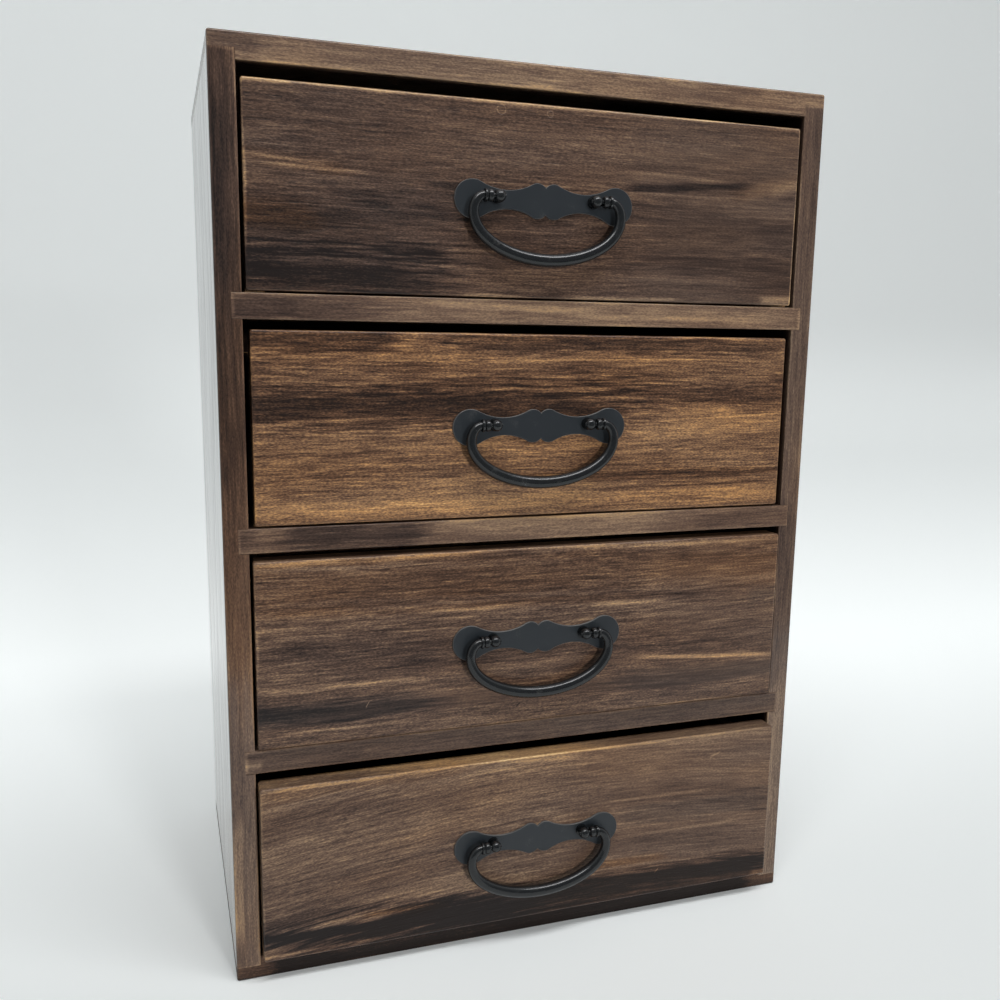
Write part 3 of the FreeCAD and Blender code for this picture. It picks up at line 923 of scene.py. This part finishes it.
BAIL_SIZES = ("Bow", "Shoulder", "Drop", "Curve", "End radius", "Side radius", "Grip radius")
BAIL_INPUTS = {
    "Axis place": "NodeSocketVector",
    "Half spacing": "NodeSocketFloat",
    "Collar end": "NodeSocketFloat",
    **dict.fromkeys(BAIL_SIZES, "NodeSocketFloat"),
    "Rings": "NodeSocketInt",
    "Sides": "NodeSocketInt",
    "Material": "NodeSocketMaterial",
}


def new_geometry_tree(name, inputs):
    """An empty geometry tree with named inputs, and its inputs' sockets by name."""
    group = bpy.data.node_groups.new(name, "GeometryNodeTree")
    group.interface.new_socket("Geometry", in_out="INPUT", socket_type="NodeSocketGeometry")
    for label, kind in inputs.items():
        group.interface.new_socket(label, in_out="INPUT", socket_type=kind)
    group.interface.new_socket("Geometry", in_out="OUTPUT", socket_type="NodeSocketGeometry")
    tree = Tree(group)
    first = tree.add("NodeGroupInput")
    return tree, {label: first.output(label) for label in ("Geometry", *inputs)}


def finish_geometry(tree, geometry, material):
    """Ends a geometry tree with real geometry in one material."""
    real = tree.add("GeometryNodeRealizeInstances", None, {"Geometry": geometry})
    painted = tree.add("GeometryNodeSetMaterial", None, {"Geometry": real, "Material": material})
    tree.add("NodeGroupOutput", None, {"Geometry": painted})


def bail_tree():
    """Bends a bar into a bail between two collars; the geometry that comes in is the right collar."""
    tree, given = new_geometry_tree("Hanging bail", BAIL_INPUTS)
    line = tree.add("GeometryNodeCurvePrimitiveLine", None, {"Start": (0, 0, 0), "End": (1, 0, 0)})
    line = tree.add("GeometryNodeResampleCurve", None, {"Curve": line, "Count": given["Rings"]})
    along = tree.add("GeometryNodeSplineParameter", None, None, "Factor")
    shoulder_share = 0.16
    quarter = math.pi / 2
    end_turn = quarter / (1 - 2 * shoulder_share)
    turn = (along - 0.5) * (2 * end_turn)
    side = tree.maths("SIGN", turn)
    swing = abs(turn)
    grip_turn = tree.maths("MINIMUM", swing, quarter)
    shoulder_turn = tree.maths("MAXIMUM", swing - quarter, 0.0) * (quarter / (end_turn - quarter))
    widest = given["Half spacing"] + given["Bow"]
    power = 2.0 / given["Curve"]
    bend = widest - given["Collar end"]
    sine = tree.maths("MAXIMUM", tree.maths("SINE", grip_turn), 0.0)
    cosine = tree.maths("MAXIMUM", tree.maths("COSINE", grip_turn), 0.0)
    on_grip = tree.maths("LESS_THAN", swing, quarter)
    off_grip = 1.0 - on_grip
    grip_x = widest * sine ** power
    grip_z = (given["Drop"] - given["Shoulder"]) * cosine ** power + given["Shoulder"]
    shoulder_x = given["Collar end"] + bend * tree.maths("COSINE", shoulder_turn)
    shoulder_z = given["Shoulder"] * (1.0 - tree.maths("SINE", shoulder_turn))
    x = (grip_x * on_grip + shoulder_x * off_grip) * side
    z = (grip_z * on_grip + shoulder_z * off_grip) * -1.0
    grip_radius = given["Side radius"] + (given["Grip radius"] - given["Side radius"]) * cosine
    taper = (given["Side radius"] - given["End radius"]) * tree.maths("COSINE", shoulder_turn)
    shoulder_radius = given["End radius"] + taper
    radius = grip_radius * on_grip + shoulder_radius * off_grip
    kept = tree.node_tree.nodes.new("GeometryNodeCaptureAttribute")
    kept.capture_items.new("FLOAT", "Radius")
    tree.node_tree.links.new(line.socket, kept.inputs[0])
    tree.node_tree.links.new(radius.socket, kept.inputs[1])
    bent = tree.add(
        "GeometryNodeSetPosition", None,
        {"Geometry": Socket(tree, kept.outputs[0]), "Position": tree.join(x, 0.0, z)})
    ring = tree.add(
        "GeometryNodeCurvePrimitiveCircle", None, {"Resolution": given["Sides"], "Radius": 1.0})
    thickness = Socket(tree, kept.outputs[1])
    bar = tree.add(
        "GeometryNodeCurveToMesh", None,
        {"Curve": bent, "Profile Curve": ring, "Scale": thickness, "Fill Caps": True})
    other = tree.add(
        "GeometryNodeTransform", None, {"Geometry": given["Geometry"], "Scale": (-1, 1, 1)})
    other = tree.add("GeometryNodeFlipFaces", None, {"Mesh": other})
    whole = tree.add("GeometryNodeJoinGeometry", None, {"Geometry": [bar, given["Geometry"], other]})
    hung = tree.add(
        "GeometryNodeTransform", None, {"Geometry": whole, "Translation": given["Axis place"]})
    smooth = tree.add("GeometryNodeSetShadeSmooth", None, {"Geometry": hung})
    finish_geometry(tree, smooth, given["Material"])
    return tree.node_tree


def shaped(name, mesh, group, values, sharp_angle):
    """A plain mesh object from a mesh and a geometry tree with its inputs' values."""
    rough = placed(name + "_base", mesh)
    modifier = rough.modifiers.new("Shape", "NODES")
    modifier.node_group = group
    for item in group.interface.items_tree:
        if item.in_out == "INPUT" and item.name in values:
            modifier[item.identifier] = values[item.name]
    bpy.context.view_layer.update()
    ready = rough.evaluated_get(bpy.context.evaluated_depsgraph_get())
    result = bpy.data.meshes.new_from_object(ready)
    bpy.data.objects.remove(rough)
    if not result.polygons:
        raise RuntimeError(name + " came out empty")
    result.set_sharp_from_angle(angle=sharp_angle)
    result.name = name
    return placed(name, result)


class JEWELLERY_OT_bails(bpy.types.Operator):
    """Build the four hanging bails with their turned collars"""

    bl_idname = "jewellery.bails"
    bl_label = "Bails"

    def execute(self, context):
        look = settings().bail
        metal = settings().metal
        black = enamel("enamel_bails", metal.bail_roughness, 27.0, metal.iron, metal.gloss)
        group = bail_tree()
        collar_end = look.post_spacing / 2 + look.collar_start + look.collar_length
        inset = 0.1 * MM
        for number in DRAWERS:
            low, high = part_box("drawer_%d_backplate" % number)
            axis = (0.0, high.y - look.stand_off, (low.z + high.z) / 2 + look.rise)
            collar = turned_mesh("collar_%d" % number, turned_collar(look), look.sides)
            values = {
                "Axis place": axis,
                "Half spacing": look.post_spacing / 2,
                "Collar end": collar_end - inset,
                **{size: getattr(look, size.lower().replace(" ", "_")) for size in BAIL_SIZES},
                "Rings": look.rings,
                "Sides": look.sides,
                "Material": black,
            }
            bail = shaped("drawer_%d_bail" % number, collar, group, values, math.radians(40))
            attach(bail, "bail_%d" % number)
            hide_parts("bail_%d" % number)
        return {"FINISHED"}


FLOOR_FRONT, FLOOR_SEAM = -6.0, -0.45      # what lies in front of the seam isn't mirrored in the box
LAMP_TARGET = (0.0, -0.04, 0.18)
KEY_PLACE, KEY_SIZE = (0.55, -3.0, 0.58), (0.45, 0.45)
TOP_PLACE, TOP_SIZE = (0.05, -0.5, 1.2), (1.2, 0.22)


def backdrop_profile(front):
    """Places (y, z) of a floor that bends up into a backdrop behind the box."""
    back, height, bend, steps = 2.6, 4.0, 1.2, 24
    profile = [(front, 0.0)]
    for step in range(steps + 1):
        turn = math.pi / 2 * step / steps
        profile.append((back - bend + bend * math.sin(turn), bend - bend * math.cos(turn)))
    profile.append((back, height))
    return profile


def swept_mesh(name, profile, half_width=6.0):
    """A wide strip along a profile of places (y, z), its upper side outwards."""
    points = []
    for y, z in profile:
        points += [(-half_width, y, z), (half_width, y, z)]
    faces = [(2 * k, 2 * k + 1, 2 * k + 3, 2 * k + 2) for k in range(len(profile) - 1)]
    mesh = bpy.data.meshes.new(name)
    mesh.from_pydata(points, [], faces)
    for polygon in mesh.polygons:
        polygon.use_smooth = True
    return mesh


def sweep_material(look):
    """Pale matt sweep that looks brighter than its light makes it, and is clear from below."""
    material, tree = new_material("matte_sweep")
    place = tree.place()
    cloud = tree.noise(place, (1.2, 1.2, 1.2), 2.0, 1.0)
    ground = tree.mix(0.5 + cloud * 0.4, tuple(0.97 * part for part in look.sweep), tuple(look.sweep))
    rays = tree.add("ShaderNodeLightPath", output="Is Camera Ray")
    seen = tree.maths("MAXIMUM", rays, rays.output("Is Glossy Ray"))
    reach, up = tree.split(place)[1:]
    backdrop = tree.smooth(reach, -0.2, 0.3) * 0.78 + 0.14
    backdrop = backdrop * (1.0 - tree.smooth(up, 0.02, 0.35) * 0.22)
    near_floor = tree.smooth(reach, -0.26, -0.44) * 0.6
    glow = tree.mix(seen * (backdrop + near_floor), (0.0, 0.0, 0.0), tuple(look.sweep))
    tree.surface(
        one_sided=True,
        Base_Color=ground,
        Roughness=0.8,
        Emission_Color=glow,
        Emission_Strength=look.sweep_glow,
    )
    return material


def pale_room(look):
    """World round the box: plain to the camera, and dim behind it for light and reflections."""
    world = bpy.data.worlds.new("pale_room")
    world.use_nodes = True
    world.node_tree.nodes.clear()
    tree = Tree(world.node_tree)
    rays = tree.add("ShaderNodeLightPath", output="Is Camera Ray")
    mirrored = tree.maths("MAXIMUM", rays.output("Is Glossy Ray"), rays.output("Is Transmission Ray"))
    strength = mirrored * (1.0 - look.sky_light) + look.sky_light
    towards = tree.split(tree.add("ShaderNodeTexCoord", output="Generated"))[1]
    closed = tree.smooth(towards, -0.75, 0.05) * (1.0 - look.opening) + look.opening
    strength = tree.maths("MAXIMUM", strength * closed, rays)
    glow = tree.add("ShaderNodeBackground", None, {"Color": opaque(look.sky), "Strength": strength})
    tree.add("ShaderNodeOutputWorld", None, {"Surface": glow})
    return world


def soft_lamp(name, place, size, power, mirrored):
    """Soft lamp that looks at the box, and shows in glossy surfaces or not."""
    lamp = bpy.data.lights.new(name, "AREA")
    lamp.shape = "RECTANGLE"
    lamp.size, lamp.size_y = size
    lamp.energy = power
    holder = placed(name, lamp)
    holder.location = place
    holder.rotation_euler = (Vector(LAMP_TARGET) - Vector(place)).to_track_quat("-Z", "Y").to_euler()
    holder.visible_glossy = mirrored


def studio_camera(look):
    """Camera at the place and angle of the reference picture."""
    camera = bpy.data.cameras.new("camera")
    camera.sensor_width = 36.0
    camera.lens = look.lens
    camera.shift_x, camera.shift_y = look.camera_shift
    camera.clip_start = 0.01
    holder = placed("camera", camera)
    holder.location = look.camera_place
    holder.rotation_euler = look.camera_turn
    return holder


class JEWELLERY_OT_studio(bpy.types.Operator):
    """Set up the sweep, the lamps and the camera"""

    bl_idname = "jewellery.studio"
    bl_label = "Studio"

    def execute(self, context):
        look = settings().studio
        scene = context.scene
        material = sweep_material(look)
        strips = {
            "studio_sweep": backdrop_profile(FLOOR_SEAM),
            "studio_apron": [(FLOOR_FRONT, 0.0), (FLOOR_SEAM, 0.0)],
        }
        for name, profile in strips.items():
            mesh = swept_mesh(name, profile)
            mesh.materials.append(material)
            strip = placed(name, mesh)
            strip.visible_glossy = name != "studio_apron"
        scene.world = pale_room(look)
        soft_lamp("key_lamp", KEY_PLACE, KEY_SIZE, look.key_power, mirrored=False)
        soft_lamp("top_lamp", TOP_PLACE, TOP_SIZE, look.top_power, mirrored=True)
        scene.camera = studio_camera(look)
        scene.view_settings.view_transform = "Standard"
        return {"FINISHED"}


OPERATORS = (
    JEWELLERY_OT_carcass,
    JEWELLERY_OT_fronts,
    JEWELLERY_OT_drawer_boxes,
    JEWELLERY_OT_plywood,
    JEWELLERY_OT_fixings,
    JEWELLERY_OT_backplates,
    JEWELLERY_OT_posts,
    JEWELLERY_OT_bails,
    JEWELLERY_OT_studio,
)


class JEWELLERY_PT_panel(bpy.types.Panel):
    """Lists the pieces of the jewellery box"""

    bl_idname = "JEWELLERY_PT_panel"
    bl_label = "Jewellery box"
    bl_space_type = "VIEW_3D"
    bl_region_type = "UI"
    bl_category = "Jewellery box"

    def draw(self, context):
        for operator in OPERATORS:
            self.layout.operator(operator.bl_idname)


CLASSES = (WoodSettings, MetalSettings, BailSettings, StudioSettings, BoxSettings, *OPERATORS,
           JEWELLERY_PT_panel)


def register():
    for kind in CLASSES:
        bpy.utils.register_class(kind)
    bpy.types.Scene.jewellery_box = PointerProperty(type=BoxSettings)


def unregister():
    del bpy.types.Scene.jewellery_box
    for kind in reversed(CLASSES):
        bpy.utils.unregister_class(kind)


def main():
    register()
    for operator in OPERATORS:
        group, name = operator.bl_idname.split(".")
        getattr(getattr(bpy.ops, group), name)()


if __name__ == "__main__":
    main()
